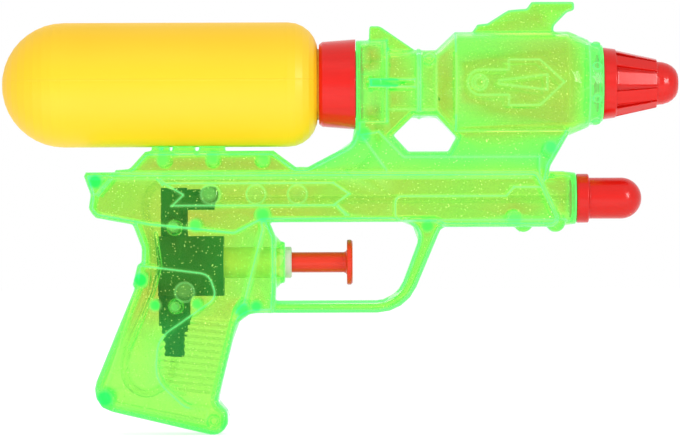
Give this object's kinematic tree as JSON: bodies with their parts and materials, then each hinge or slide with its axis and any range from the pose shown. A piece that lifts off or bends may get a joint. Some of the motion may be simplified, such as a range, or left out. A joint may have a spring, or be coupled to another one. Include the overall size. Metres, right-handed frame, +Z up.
{
  "type": "water squirter",
  "caption": "Toy water squirter with a clear two-part body, a screw-on tank over the grip, a plunger trigger pump with check valves, and a jet nozzle under a fluted nose.",
  "frame": {"origin": "middle of the grip, where the palm closes, on the plane where the two half shells meet", "axes": "+X the way the water leaves, +Y to the user's left, +Z up"},
  "size_m": [0.24, 0.0442, 0.1529],
  "materials": {
    "clear_green": "clear tinted, with fine glitter",
    "yellow": "blow moulded, opaque",
    "red": "injection moulded, glossy",
    "trigger_red": "injection moulded",
    "seal_rubber": "soft",
    "natural": "natural polyethylene",
    "hose": "clear soft PVC",
    "black": "injection moulded",
    "steel": "bright wire and balls"
  },
  "bodies": {
    "body": {"right_shell": "clear_green", "left_shell": "clear_green", "tank_collar": "red", "tank_elbow": "hose", "inlet_hose": "hose", "outlet_hose": "hose", "nozzle_cap": "red", "nose_cone": "red", "return_spring": "steel", "pump_cylinder": "natural", "pump_body": "black", "inlet_seat": "black", "outlet_elbow": "black", "outlet_spring": "steel"},
    "trigger": {"plunger": "trigger_red", "plunger_seal": "seal_rubber"},
    "washer": {"tank_seal": "seal_rubber"},
    "tank": {"tank": "yellow"},
    "inlet_valve": {"inlet_ball": "steel"},
    "outlet_valve": {"outlet_ball": "steel"}
  },
  "joints": [
    {"name": "trigger_pull", "type": "slide", "parent": "body", "child": "trigger", "axis": [-1, 0, 0], "range_m": [0, 0.015], "stiffness_N_per_m": 300, "springref_m": -0.01, "deforming": ["return_spring"]},
    {"name": "tank_back_off", "type": "slide", "parent": "body", "child": "washer", "axis": [-1, 0, 0], "range_m": [0, 0.01205]},
    {"name": "tank_unscrew", "type": "hinge", "parent": "washer", "child": "tank", "pos_m": [0.05, 0, 0.0872], "axis": [-1, 0, 0], "range_deg": [0, 1080]},
    {"name": "inlet_lift", "type": "slide", "parent": "body", "child": "inlet_valve", "axis": [0, 0, 1], "range_m": [0, 0.0012]},
    {"name": "outlet_lift", "type": "slide", "parent": "body", "child": "outlet_valve", "axis": [0, 0, 1], "range_m": [0, 0.0012], "stiffness_N_per_m": 25, "springref_m": -0.002, "deforming": ["outlet_spring"]}
  ],
  "couplings": [
    {"joint": "tank_back_off", "follows": "tank_unscrew", "m_per_rad": 0.00063662}
  ]
}
